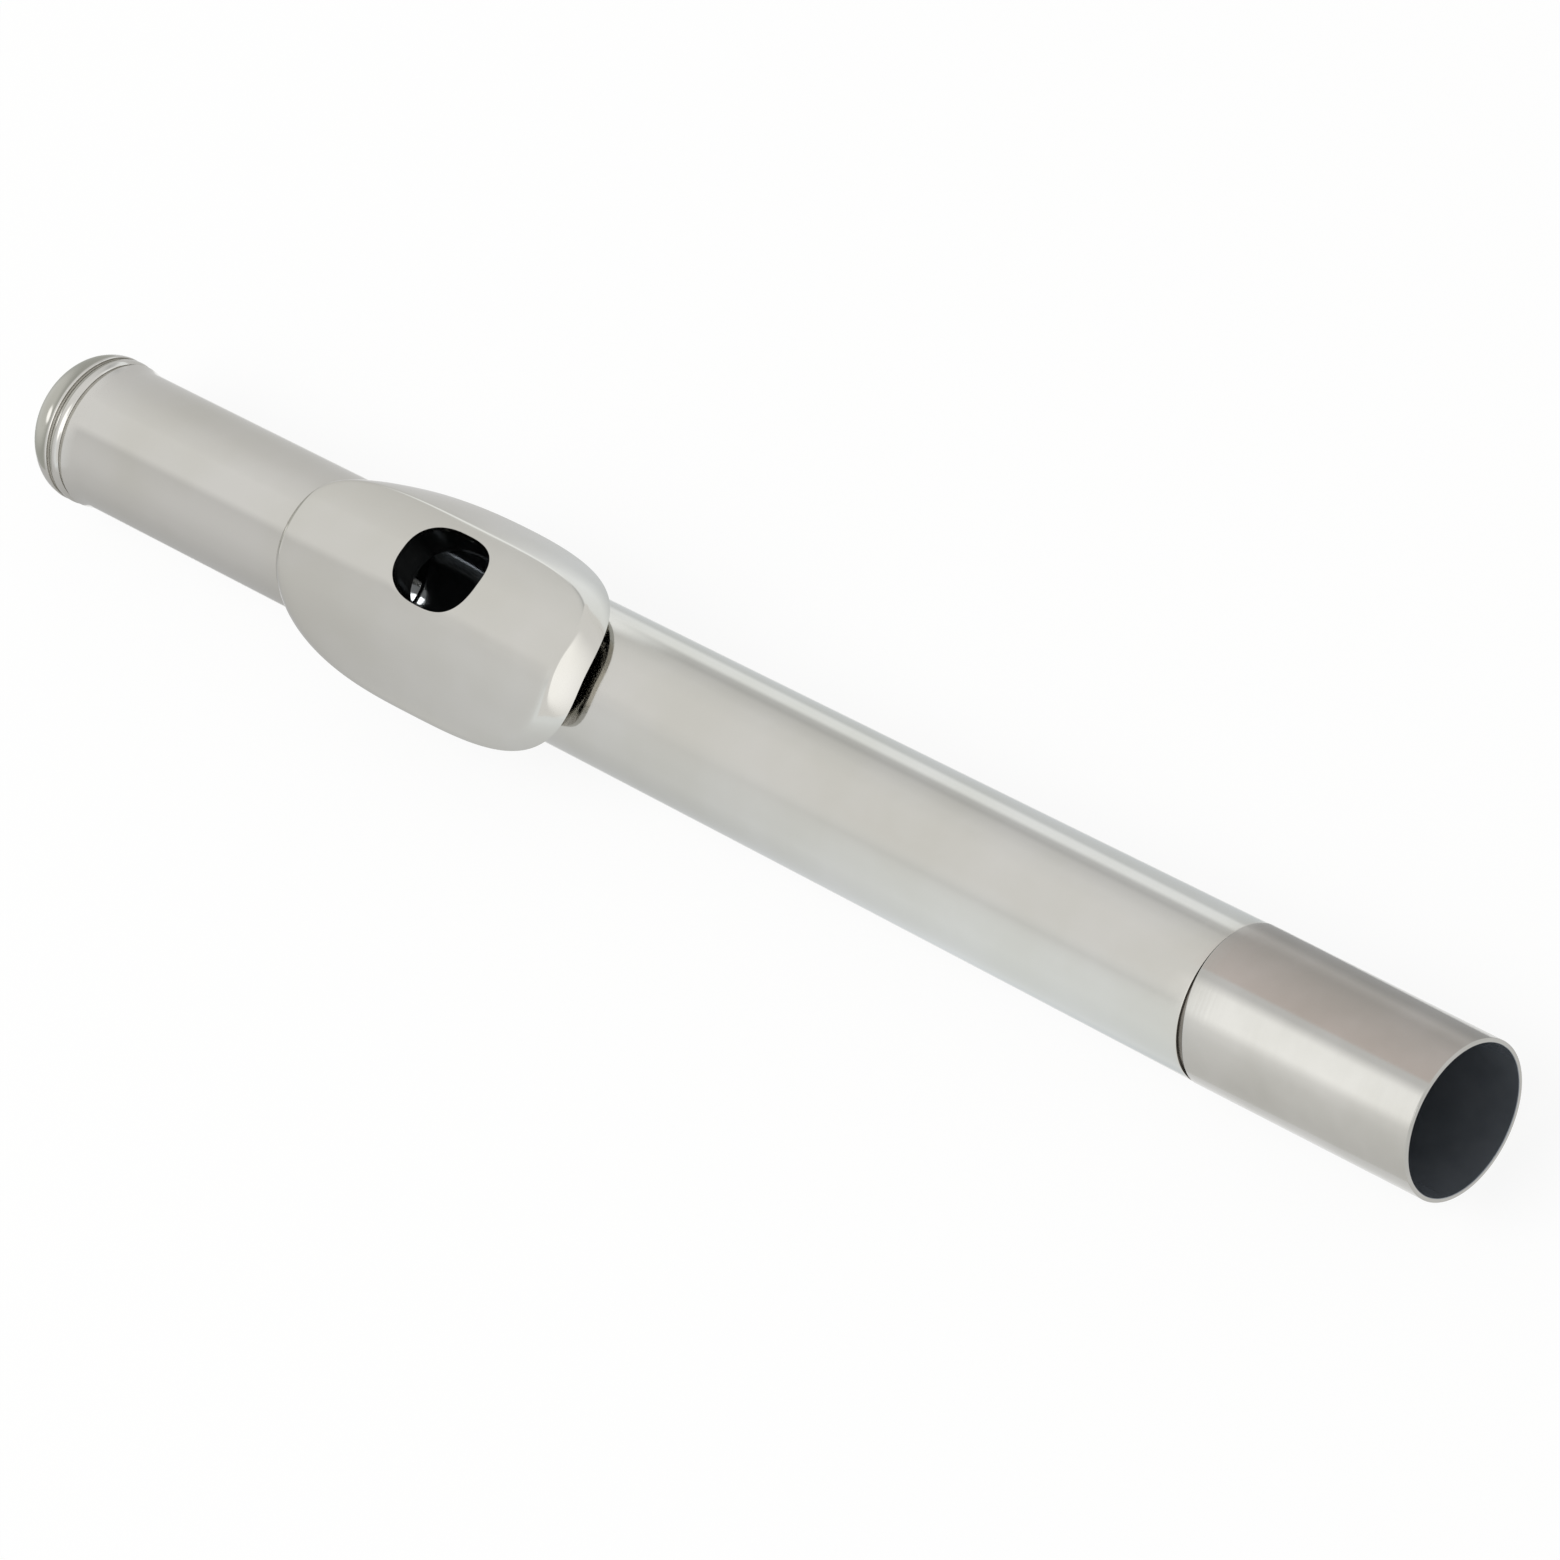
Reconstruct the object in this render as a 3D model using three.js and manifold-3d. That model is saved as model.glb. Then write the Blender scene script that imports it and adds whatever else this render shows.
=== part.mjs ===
// Head joint of a concert flute: tapered tube with tenon, lip plate on its riser, and the crown that
// draws the cork stopper along the bore by a screw. Millimetres, +Z up through the mouth hole.
// While the pieces are made, X runs along the bore from the mouth hole towards the open end,
// -Y is the lip side, and the bore's axis is at Y = Z = 0.
import * as THREE from 'three';
import { mergeVertices } from 'three/addons/utils/BufferGeometryUtils.js';
import Module from 'manifold-3d';

const wasm = await Module();
wasm.setup();

// Tube and tenon
const mouthToOpenEnd = 153;
const mouthToCrownSeam = 63;
const tenonDiameter = 20;
const tenonLength = 34.3;
const seamStep = 0.06;
const lapLength = 8;
const tubeDiameterAtMouth = 18.36;
const tubeDiameterAtCrown = 17.9;
const tubeWall = 0.5;
const flareLength = 2.4;
const flareRise = 0.34;

// Mouth hole, riser and lip plate
const mouthLength = 12.2;
const mouthWidth = 10.5;
const riserHeight = 3.6;
const riserWall = 1.2;
const plateThickness = 0.9;
const plateLength = 49.5;
const plateLipGap = 5.1;
const plateBackGap = 2.45;
const plateEndGap = 1.7;
const plateLipDrop = 12.85;
const plateBackDrop = 9.3;
const plateLipShift = 3;
const plateCrownShift = 0.2;
const lipBandWidth = 0.6;
const endBandWidth = 2.35;
const blowEdgeMargin = 1.55;
const blowEdgeDrop = 1.5;
const bandBulge = 0.2;

// Crown
const crownDiameter = 18.8;
const crownSeamGap = 0.3;
const beadWidth = 1.8;
const grooveWidth = 0.3;
const grooveDepth = 0.25;
const domeHeight = 6.5;
const crownWall = 0.8;
const neckLength = 6.5;
const bushLength = 8;
const bushDiameter = 8;
const bushFlangeThickness = 1.5;

// Stopper
const stopperToMouth = 17.3;
const frontPlateThickness = 1.2;
const corkLength = 15;
const rearPlateThickness = 1;
const rearPlateDiameter = 14;
const nutThickness = 3;
const nutAcrossFlats = 8;
const screwDiameter = 4;
const screwOverrun = 1;
const screwChamfer = 0.5;

// Clearances
const solderGap = 0.3;
const lapGap = 0.05;
const neckClearance = 0.2;
const bushClearance = 0.1;
const threadClearance = 0.1;
const corkClearance = 0.15;
const screwHoleClearance = 0.15;

// Facets
const tubeSides = 48;
const stopperSides = 36;
const screwSides = 24;
const outlineSides = 72;
const taperSteps = 9;
const arcSteps = 7;
const nutSides = 6;
const plateRings = [0, 0.12, 0.35, 0.65, 1];
const bandRings = [0.3, 0.65, 1];

// Shape of the outlines: 2 is an ellipse, more is squarer
const mouthSquareness = 2.6;
const lipSquareness = 2.97;
const backSquareness = 2.32;
const creaseSquareness = 3.6;

// How the lip plate falls away on each side: 2 is a parabola, more keeps flat for longer
const lipFall = 2.6;
const backFall = 2;

const crownEndX = -mouthToCrownSeam;
const tenonSeamX = mouthToOpenEnd - tenonLength;
const tubeRadiusAtSeam = tenonDiameter / 2 - seamStep;

// Outer radius of the tube: a smooth curve through its three diameters
function tubeRadius(x) {
  const crown = tubeDiameterAtCrown / 2;
  const mouth = tubeDiameterAtMouth / 2;
  const atCrown = crown * x * (x - tenonSeamX) / (crownEndX * (crownEndX - tenonSeamX));
  const atMouth = mouth * (x - crownEndX) * (x - tenonSeamX) / (crownEndX * tenonSeamX);
  const atSeam = tubeRadiusAtSeam * (x - crownEndX) * x / ((tenonSeamX - crownEndX) * tenonSeamX);
  return atCrown + atMouth + atSeam;
}

function boreRadius(x) {
  return tubeRadius(x) - tubeWall;
}

function steps(from, to, count) {
  return Array.from({ length: count + 1 }, (_, i) => from + (to - from) * i / count);
}

// Quarter of an ellipse in a turned profile, from one [x, radius] to another, square to the axis at its end
function quarterArc([fromX, fromR], [toX, toR], count) {
  return steps(0, Math.PI / 2, count).map((a) => [
    fromX + (toX - fromX) * Math.sin(a),
    toR + (fromR - toR) * Math.cos(a),
  ]);
}

// A solid turned about the bore's axis. The [x, radius] profile runs with the material on its left.
function turned(profile, sides) {
  const points = profile.map(([x, r]) => new THREE.Vector2(r, x));
  return new THREE.LatheGeometry(points, sides).rotateZ(-Math.PI / 2);
}

function turnedRing(profile, sides) {
  return turned([...profile, profile[0]], sides);
}

// A ring-shaped solid lofted through closed loops, the last of which joins the first
function loftedRing(loops) {
  const sides = loops[0].length;
  const position = loops.flatMap((loop) => loop.flatMap((p) => [p.x, p.y, p.z]));
  const index = [];
  loops.forEach((_, k) => {
    const next = (k + 1) % loops.length;
    for (let i = 0; i < sides; i += 1) {
      const j = (i + 1) % sides;
      const a = k * sides + i;
      const b = k * sides + j;
      const c = next * sides + j;
      const d = next * sides + i;
      index.push(a, b, c, a, c, d);
    }
  });
  const geometry = new THREE.BufferGeometry();
  geometry.setAttribute('position', new THREE.Float32BufferAttribute(position, 3));
  geometry.setIndex(index);
  geometry.computeVertexNormals();
  return geometry;
}

function solidOf(geometry) {
  const bare = geometry.clone();
  bare.deleteAttribute('normal');
  bare.deleteAttribute('uv');
  const merged = mergeVertices(bare);
  const vertProperties = new Float32Array(merged.attributes.position.array);
  const triVerts = new Uint32Array(merged.index.array);
  return new wasm.Manifold(new wasm.Mesh({ numProp: 3, vertProperties, triVerts }));
}

function geometryOf(solid) {
  const mesh = solid.getMesh();
  const geometry = new THREE.BufferGeometry();
  geometry.setAttribute('position', new THREE.Float32BufferAttribute(mesh.vertProperties, 3));
  geometry.setIndex(Array.from(mesh.triVerts));
  geometry.computeVertexNormals();
  return geometry;
}

function piece(name, geometry, colour, roughness, metalness) {
  const material = new THREE.MeshStandardMaterial({ color: colour, roughness, metalness });
  const mesh = new THREE.Mesh(geometry, material);
  mesh.name = name;
  return mesh;
}

// Points of an oval, seen from above, whose lip side (-Y) and back may differ in reach and squareness.
// It is centred on X = centreX and longest along Y = centreY.
function oval(centreX, centreY, halfLength, lipReach, backReach, lipPower, backPower) {
  return steps(0, 2 * Math.PI, outlineSides).slice(0, -1).map((angle) => {
    const c = Math.cos(angle);
    const s = Math.sin(angle);
    const reach = s < 0 ? lipReach + centreY : backReach - centreY;
    const power = s < 0 ? lipPower : backPower;
    const radius = (Math.abs(c) ** power + Math.abs(s) ** power) ** (-1 / power);
    return new THREE.Vector2(centreX + halfLength * radius * c, centreY + reach * radius * s);
  });
}

function mouthOval(margin) {
  const reach = mouthWidth / 2 + margin;
  return oval(0, 0, mouthLength / 2 + margin, reach, reach, mouthSquareness, mouthSquareness);
}

// Head tube: flared lip at the crown end, lap for the tenon at the other, mouth opening through the wall
function headTube() {
  const flareStartX = crownEndX + flareLength;
  const lapX = tenonSeamX - lapLength;
  const lapRadius = tubeRadiusAtSeam - tubeWall / 2 + lapGap / 2;
  const flare = steps(1, 0, arcSteps).map((u) => {
    const x = flareStartX - flareLength * u;
    return [x, tubeRadius(x) + flareRise * u * u];
  });
  const outside = steps(flareStartX, tenonSeamX, taperSteps).slice(1).map((x) => [x, tubeRadius(x)]);
  const inside = steps(lapX, crownEndX, taperSteps).map((x) => [x, boreRadius(x)]);
  const profile = [...flare, ...outside, [tenonSeamX, lapRadius], [lapX, lapRadius], ...inside];
  const depth = 2 * tubeRadius(0);
  const cutter = new THREE.ExtrudeGeometry(new THREE.Shape(mouthOval(0)), { depth, bevelEnabled: false });
  return geometryOf(solidOf(turnedRing(profile, tubeSides)).subtract(solidOf(cutter)));
}

// Tenon sleeve: its spigot lies in the tube's lap, so that bore and outside run on without a step
function tenonSleeve() {
  const spigotX = tenonSeamX - lapLength + solderGap;
  const spigotRadius = tubeRadiusAtSeam - tubeWall / 2 - lapGap / 2;
  const boreAtSeam = boreRadius(tenonSeamX);
  const shoulderX = tenonSeamX + lapGap;
  return turnedRing([
    [spigotX, spigotRadius],
    [shoulderX, spigotRadius],
    [shoulderX, tenonDiameter / 2],
    [mouthToOpenEnd, tenonDiameter / 2],
    [mouthToOpenEnd, boreAtSeam],
    [spigotX, boreAtSeam],
  ], tubeSides);
}

// Height of the lip plate's upper face over a place seen from above, before its edge turns down
const plateTop = tubeRadius(0) + riserHeight + plateThickness;
const lipReach = tubeRadius(0) + plateLipGap;
const backReach = tubeRadius(0) + plateBackGap;
const blowEdgeReach = mouthWidth / 2 + blowEdgeMargin;

function plateHeight(y) {
  if (y < 0) {
    return plateTop - plateLipDrop * (-y / lipReach) ** lipFall;
  }
  return plateTop - blowEdgeDrop * (y / blowEdgeReach) ** backFall;
}

function plateUnderside(y) {
  const step = plateThickness / 10;
  const slope = (plateHeight(y + step) - plateHeight(y - step)) / (2 * step);
  return plateHeight(y) - plateThickness * Math.hypot(1, slope);
}

// Riser: the chimney round the mouth hole, saddled on the tube and fitted under the plate
function riser() {
  const seat = ({ x, y }) => Math.sqrt((tubeRadius(x) + solderGap) ** 2 - y * y);
  const head = ({ y }) => plateUnderside(y) - solderGap;
  const loop = (outline, height) => outline.map((p) => new THREE.Vector3(p.x, p.y, height(p)));
  const inner = mouthOval(0);
  const outer = mouthOval(riserWall);
  return loftedRing([loop(outer, seat), loop(outer, head), loop(inner, head), loop(inner, seat)]);
}

// Lip plate: a crowned saddle with the mouth hole, whose edge turns down along a crease to the rim
function lipPlate() {
  const halfLength = plateLength / 2;
  const mouth = mouthOval(0);
  const plateOval = oval.bind(null, -plateCrownShift, -plateLipShift);
  const crease = plateOval(halfLength - endBandWidth, lipReach - lipBandWidth, blowEdgeReach,
    creaseSquareness, creaseSquareness);
  const rim = plateOval(halfLength, lipReach, backReach, lipSquareness, backSquareness);
  const rimPoint = (p) => {
    const end = tubeRadius(p.x) + plateEndGap;
    const side = plateTop - (p.y < 0 ? plateLipDrop : plateBackDrop);
    const share = p.y / (p.y < 0 ? lipReach : backReach);
    return new THREE.Vector3(p.x, p.y, end + (side - end) * share * share);
  };
  const topPoint = (p) => new THREE.Vector3(p.x, p.y, plateHeight(p.y));
  const saddle = plateRings.map((u) => mouth.map((p, i) => topPoint(p.clone().lerp(crease[i], u))));
  const band = bandRings.map((u) => rim.map((p, i) => {
    const from = topPoint(crease[i]);
    const to = rimPoint(p);
    const out = new THREE.Vector3(to.x - from.x, to.y - from.y, 0).normalize();
    const bulge = 4 * bandBulge * u * (1 - u);
    return from.lerp(to, u).addScaledVector(out, bulge);
  }));
  const upper = [...saddle, ...band];
  const lower = upper.map((loop, k) => loop.map((p, i) => {
    const sides = loop.length;
    const along = loop[(i + 1) % sides].clone().sub(loop[(i + sides - 1) % sides]);
    const before = upper[Math.max(k - 1, 0)][i];
    const after = upper[Math.min(k + 1, upper.length - 1)][i];
    const inward = after.clone().sub(before).cross(along).normalize();
    return p.clone().addScaledVector(inward, -plateThickness);
  }));
  return loftedRing([...upper.reverse(), ...lower]);
}

// Crown cap: hollow dome, bead and groove, with a neck that turns inside the tube's end. X = 0 at the seam.
const neckRadius = boreRadius(crownEndX) - neckClearance;
const domeX = -crownSeamGap - beadWidth - grooveWidth;
const bushFlangeX = neckLength - bushFlangeThickness - solderGap;

function crownCap() {
  const radius = crownDiameter / 2;
  const beadMiddleX = -crownSeamGap - beadWidth / 2;
  const beadFoot = radius - grooveDepth;
  const bead = steps(-Math.PI / 2, Math.PI / 2, arcSteps).map((a) => [
    beadMiddleX + beadWidth / 2 * Math.sin(a),
    beadFoot + grooveDepth * Math.cos(a),
  ]);
  const dome = quarterArc([domeX, radius], [domeX - domeHeight, 0], arcSteps).reverse();
  const innerRadius = neckRadius - crownWall;
  const inside = quarterArc([domeX, innerRadius], [domeX - domeHeight + crownWall, 0], arcSteps);
  return turned([
    ...dome,
    [domeX, beadFoot],
    ...bead,
    [-crownSeamGap, neckRadius],
    [neckLength, neckRadius],
    [neckLength, innerRadius],
    ...inside,
  ], tubeSides);
}

// Crown bush: the threaded hub in the crown's neck, held by its flange
function crownBush() {
  const flangeRadius = neckRadius - crownWall - bushClearance;
  const hub = bushDiameter / 2;
  const thread = screwDiameter / 2 + threadClearance;
  const hubEnd = neckLength - bushLength;
  return turnedRing([
    [hubEnd, hub],
    [bushFlangeX, hub],
    [bushFlangeX, flangeRadius],
    [bushFlangeX + bushFlangeThickness, flangeRadius],
    [bushFlangeX + bushFlangeThickness, hub],
    [neckLength, hub],
    [neckLength, thread],
    [hubEnd, thread],
  ], stopperSides);
}

// Stopper pieces. X = 0 at the face that closes the bore, and the rest lies at -X towards the crown.
const corkX = -frontPlateThickness;
const rearPlateX = corkX - corkLength;
const nutX = rearPlateX - rearPlateThickness;
const screwHole = screwDiameter / 2 + screwHoleClearance;

function disc(fromX, toX, radius, hole) {
  return turnedRing([[fromX, radius], [toX, radius], [toX, hole], [fromX, hole]], stopperSides);
}

function stopperRadius(fromX) {
  return boreRadius(fromX - stopperToMouth) - corkClearance;
}

function frontPlate() {
  const radius = stopperRadius(corkX);
  return turned([[corkX, 0], [corkX, radius], [0, radius], [0, 0]], stopperSides);
}

function stopperCork() {
  return disc(rearPlateX, corkX, stopperRadius(rearPlateX), screwHole);
}

function rearPlate() {
  return disc(nutX, rearPlateX, rearPlateDiameter / 2, screwHole);
}

function stopperNut() {
  const cornerRadius = nutAcrossFlats / 2 / Math.cos(Math.PI / nutSides);
  const corners = steps(0, 2 * Math.PI, nutSides).slice(0, -1).map((a) => new THREE.Vector2(
    cornerRadius * Math.cos(a),
    cornerRadius * Math.sin(a),
  ));
  const shape = new THREE.Shape(corners);
  shape.holes.push(new THREE.Path().absarc(0, 0, screwDiameter / 2 + threadClearance, 0, 2 * Math.PI, true));
  const options = { depth: nutThickness, bevelEnabled: false, curveSegments: screwSides };
  return new THREE.ExtrudeGeometry(shape, options).rotateY(-Math.PI / 2).translate(nutX, 0, 0);
}

function stopperScrew() {
  const radius = screwDiameter / 2;
  const end = crownEndX + stopperToMouth + neckLength - bushLength - screwOverrun;
  return turned([
    [end, 0],
    [end, radius - screwChamfer],
    [end + screwChamfer, radius],
    [corkX, radius],
    [corkX, 0],
  ], screwSides);
}

const silverPlate = 0xc8c6c0;
const nickelSilver = 0xb0a89c;
const brass = 0xb9a46a;
const cork = 0xb58a5e;

const body = new THREE.Group();
body.add(piece('head_tube', headTube(), silverPlate, 0.25, 1));
body.add(piece('tenon_sleeve', tenonSleeve(), nickelSilver, 0.2, 1));
body.add(piece('riser', riser(), silverPlate, 0.25, 1));
body.add(piece('lip_plate', lipPlate(), silverPlate, 0.25, 1));

const crown = new THREE.Group();
crown.position.x = crownEndX;
crown.add(piece('crown_cap', crownCap(), silverPlate, 0.2, 1));
crown.add(piece('crown_bush', crownBush(), brass, 0.4, 1));

const stopper = new THREE.Group();
stopper.position.x = -stopperToMouth;
stopper.add(piece('stopper_front_plate', frontPlate(), silverPlate, 0.25, 1));
stopper.add(piece('stopper_cork', stopperCork(), cork, 0.9, 0));
stopper.add(piece('stopper_rear_plate', rearPlate(), nickelSilver, 0.35, 1));
stopper.add(piece('stopper_nut', stopperNut(), brass, 0.4, 1));
stopper.add(piece('stopper_screw', stopperScrew(), brass, 0.4, 1));

// The origin is under the middle of the head joint, level with the lowest line of the tenon
const crownTipX = crownEndX + domeX - domeHeight;
const headJoint = new THREE.Group();
headJoint.name = 'flute_head_joint';
headJoint.position.set(
  -(mouthToOpenEnd + crownTipX) / 2,
  (plateLipGap - plateBackGap) / 2,
  tenonDiameter / 2,
);
headJoint.add(body, crown, stopper);

export default headJoint;
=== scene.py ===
import math

import bmesh
import bpy
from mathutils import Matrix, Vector


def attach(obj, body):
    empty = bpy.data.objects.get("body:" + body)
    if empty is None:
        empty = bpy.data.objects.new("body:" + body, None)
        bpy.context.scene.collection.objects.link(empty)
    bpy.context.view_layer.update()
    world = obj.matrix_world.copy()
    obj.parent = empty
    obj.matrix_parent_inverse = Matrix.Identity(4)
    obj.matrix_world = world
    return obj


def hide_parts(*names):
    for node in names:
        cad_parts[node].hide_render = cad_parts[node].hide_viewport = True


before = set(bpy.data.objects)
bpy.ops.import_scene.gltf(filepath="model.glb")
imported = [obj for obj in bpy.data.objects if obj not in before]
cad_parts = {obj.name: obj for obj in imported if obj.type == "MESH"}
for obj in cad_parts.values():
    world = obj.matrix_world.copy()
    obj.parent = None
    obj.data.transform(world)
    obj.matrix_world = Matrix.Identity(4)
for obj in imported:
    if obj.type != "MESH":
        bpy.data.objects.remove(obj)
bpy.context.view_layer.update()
print("frame loaded:", len(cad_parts), "pieces of the head joint")

mm = 0.001
fullTurn = 2 * math.pi
hair = 0.01  # mm, a margin for picking faces and points by their place

# where the mouth hole's centre and the bore's axis lie in the frame, mm
datum = {"mouthX": -40.55, "axisY": 1.325, "axisZ": 10.0}


def rowPoint(x, y, z):  # from the mouth hole and the bore's axis in mm to the frame in metres
    return Vector((x + datum["mouthX"], y + datum["axisY"], z + datum["axisZ"])) * mm


def spread(start, end, count):  # count + 1 values from start to end
    return [start + (end - start) * i / count for i in range(count + 1)]


def hexColour(code):  # sRGB hex to linear
    channels = [int(code[i:i + 2], 16) / 255 for i in (1, 3, 5)]
    return [c / 12.92 if c <= 0.04045 else ((c + 0.055) / 1.055) ** 2.4 for c in channels] + [1]


def addNode(tree, kind, settings=None, links=None):
    made = tree.nodes.new(kind)
    for key, value in (settings or {}).items():
        if isinstance(key, int) or key in made.inputs:
            made.inputs[key].default_value = value
        else:
            setattr(made, key, value)
    for socket, source in (links or {}).items():
        tree.links.new(source, made.inputs[socket])
    return made


def newMaterial(name):
    material = bpy.data.materials.new(name)
    material.use_nodes = True
    tree = material.node_tree
    tree.nodes.clear()
    output = addNode(tree, "ShaderNodeOutputMaterial")
    return material, tree, output


# Metals: one layout, with each metal's own colours, gloss and marks. Sizes are in mm.

metalLayout = {
    "patchDetail": 3.0, "patchRamp": (0.35, 0.65), "markDetail": 4.0, "markRange": (0.3, 0.7),
    "markDepth": 0.01}


def metalMaterial(name, look):
    material, tree, output = newMaterial(name)
    place = addNode(tree, "ShaderNodeTexCoord").outputs["Object"]
    patches = addNode(tree, "ShaderNodeTexNoise",
                      {"Scale": 1 / (look["patchSize"] * mm), "Detail": metalLayout["patchDetail"]},
                      {"Vector": place})
    colours = addNode(tree, "ShaderNodeValToRGB", links={"Fac": patches.outputs["Fac"]})
    colours.color_ramp.elements[0].position = metalLayout["patchRamp"][0]
    colours.color_ramp.elements[0].color = hexColour(look["darker"])
    colours.color_ramp.elements[1].position = metalLayout["patchRamp"][1]
    colours.color_ramp.elements[1].color = hexColour(look["lighter"])
    # marks run round the tube, so they are fine along X and long the other way
    marksPlace = addNode(tree, "ShaderNodeMapping",
                         {"Scale": (1, look["markStretch"], look["markStretch"])}, {"Vector": place})
    marks = addNode(tree, "ShaderNodeTexNoise",
                    {"Scale": 1 / (look["markSize"] * mm), "Detail": metalLayout["markDetail"]},
                    {"Vector": marksPlace.outputs["Vector"]})
    low, high = metalLayout["markRange"]
    gloss = addNode(tree, "ShaderNodeMapRange",
                    {"From Min": low, "From Max": high,
                     "To Min": look["gloss"][0], "To Max": look["gloss"][1]},
                    {"Value": marks.outputs["Fac"]})
    relief = addNode(tree, "ShaderNodeBump",
                     {"Strength": look["relief"], "Distance": metalLayout["markDepth"] * mm},
                     {"Height": marks.outputs["Fac"]})
    shader = addNode(tree, "ShaderNodeBsdfPrincipled", {"Metallic": look.get("metallic", 1.0)},
                     {"Base Color": colours.outputs["Color"], "Roughness": gloss.outputs["Result"],
                      "Normal": relief.outputs["Normal"]})
    tree.links.new(shader.outputs["BSDF"], output.inputs["Surface"])
    return material


# silver plate, mopped to a shine: a pale grey mirror that blurs a little, with faint mop marks
silverPlate = metalMaterial("silverPlate", {
    "lighter": "#CCCAC5", "darker": "#C7C5BE", "patchSize": 14, "gloss": (0.09, 0.13),
    "markSize": 0.5, "markStretch": 0.2, "relief": 0.05})

# bare nickel silver, drawn and polished: a warm grey mirror, with fine rings from sliding in its socket
nickelSilver = metalMaterial("nickelSilver", {
    "lighter": "#B8B7B3", "darker": "#B0AFAA", "patchSize": 10, "gloss": (0.1, 0.16),
    "markSize": 0.35, "markStretch": 0.05, "relief": 0.12})

# inside of a played tube: a drawn bore dulled blue-grey, and darker and bluer than the metal outside as
# painted shade in the bore; it also goes dark because it mostly mirrors itself
dulledBoreAndShade = metalMaterial("dulledBoreAndShade", {
    "lighter": "#8F959C", "darker": "#82888F", "patchSize": 6, "gloss": (0.14, 0.2),
    "markSize": 0.8, "markStretch": 0.3, "relief": 0.1, "metallic": 0.62})

# bore of the plated tube, drawn over a mandrel: a dark mirror, darker than the plate outside as painted
# shade in the bore, that only flashes where it meets the light
drawnBore = metalMaterial("drawnBore", {
    "lighter": "#72767B", "darker": "#676B70", "patchSize": 6, "gloss": (0.05, 0.08),
    "markSize": 0.8, "markStretch": 0.3, "relief": 0.04, "metallic": 0.7})

# silver lapped flat and polished, on the reflector disc: the clearest mirror here
lappedSilver = metalMaterial("lappedSilver", {
    "lighter": "#CFCDC8", "darker": "#C9C7C0", "patchSize": 5, "gloss": (0.03, 0.05),
    "markSize": 0.4, "markStretch": 0.5, "relief": 0.02})

# tarnish where no cloth reaches, with painted shade, down in the seams: a soft brownish grey, darker than
# the plate to stand in for the shade there, that goes dark in the narrow gaps
tarnishAndShade = metalMaterial("tarnishAndShade", {
    "lighter": "#85817A", "darker": "#716D66", "patchSize": 3, "gloss": (0.2, 0.34),
    "markSize": 0.4, "markStretch": 0.2, "relief": 0.15, "metallic": 0.85})

# film of old polish in the crown's groove and seam, with painted shade: a grey darker than the plate,
# lighter and duller than the tarnish
polishFilmAndShade = metalMaterial("polishFilmAndShade", {
    "lighter": "#A9A69E", "darker": "#98958C", "patchSize": 3, "gloss": (0.35, 0.5),
    "markSize": 0.4, "markStretch": 0.2, "relief": 0.1, "metallic": 0.55})

# turned brass: yellow, with the tool's rings left on it
turnedBrass = metalMaterial("turnedBrass", {
    "lighter": "#C9AE6C", "darker": "#B3965A", "patchSize": 4, "gloss": (0.28, 0.4),
    "markSize": 0.25, "markStretch": 0.05, "relief": 0.5})


# natural cork, cut and sanded: soft tan cells with dark pits, dry and matt
corkLook = {
    "cellSize": 0.7, "cellMiddle": "#C79C6C", "cellEdge": "#A97D50",
    "pitSize": 1.6, "pitDetail": 5.0, "pitColour": "#5F3E22", "pitRamp": (0.33, 0.42),
    "relief": 0.6, "pitDepth": 0.1, "roughness": 0.85, "ior": 1.4}


def corkMaterial():
    material, tree, output = newMaterial("naturalCork")
    place = addNode(tree, "ShaderNodeTexCoord").outputs["Object"]
    cells = addNode(tree, "ShaderNodeTexVoronoi", {"Scale": 1 / (corkLook["cellSize"] * mm)},
                    {"Vector": place})
    pits = addNode(tree, "ShaderNodeTexNoise",
                   {"Scale": 1 / (corkLook["pitSize"] * mm), "Detail": corkLook["pitDetail"]},
                   {"Vector": place})
    tan = addNode(tree, "ShaderNodeValToRGB", links={"Fac": cells.outputs["Distance"]})
    tan.color_ramp.elements[0].color = hexColour(corkLook["cellMiddle"])
    tan.color_ramp.elements[1].color = hexColour(corkLook["cellEdge"])
    pitted = addNode(tree, "ShaderNodeValToRGB", links={"Fac": pits.outputs["Fac"]})
    pitted.color_ramp.elements[0].position = corkLook["pitRamp"][0]
    pitted.color_ramp.elements[0].color = hexColour(corkLook["pitColour"])
    pitted.color_ramp.elements[1].position = corkLook["pitRamp"][1]
    pitted.color_ramp.elements[1].color = hexColour("#FFFFFF")
    colour = addNode(tree, "ShaderNodeMix", {"data_type": "RGBA", "blend_type": "MULTIPLY", "Factor": 1.0},
                     {6: tan.outputs["Color"], 7: pitted.outputs["Color"]})
    relief = addNode(tree, "ShaderNodeBump",
                     {"Strength": corkLook["relief"], "Distance": corkLook["pitDepth"] * mm},
                     {"Height": pits.outputs["Fac"]})
    shader = addNode(tree, "ShaderNodeBsdfPrincipled",
                     {"Roughness": corkLook["roughness"], "IOR": corkLook["ior"]},
                     {"Base Color": colour.outputs[2], "Normal": relief.outputs["Normal"]})
    tree.links.new(shader.outputs["BSDF"], output.inputs["Surface"])
    return material


naturalCork = corkMaterial()
print("materials ready")


# Modelling helpers

modelling = {
    "weldGap": 0.0005,  # mm
    "arcSteps": 4, "guardRoom": 3, "guardAt": 1.5,  # soft corners, the last two counted in setbacks
    "boreFacing": -0.5,  # how squarely a face looks at the axis to count as the bore
    "smoothAngle": 32}


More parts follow.
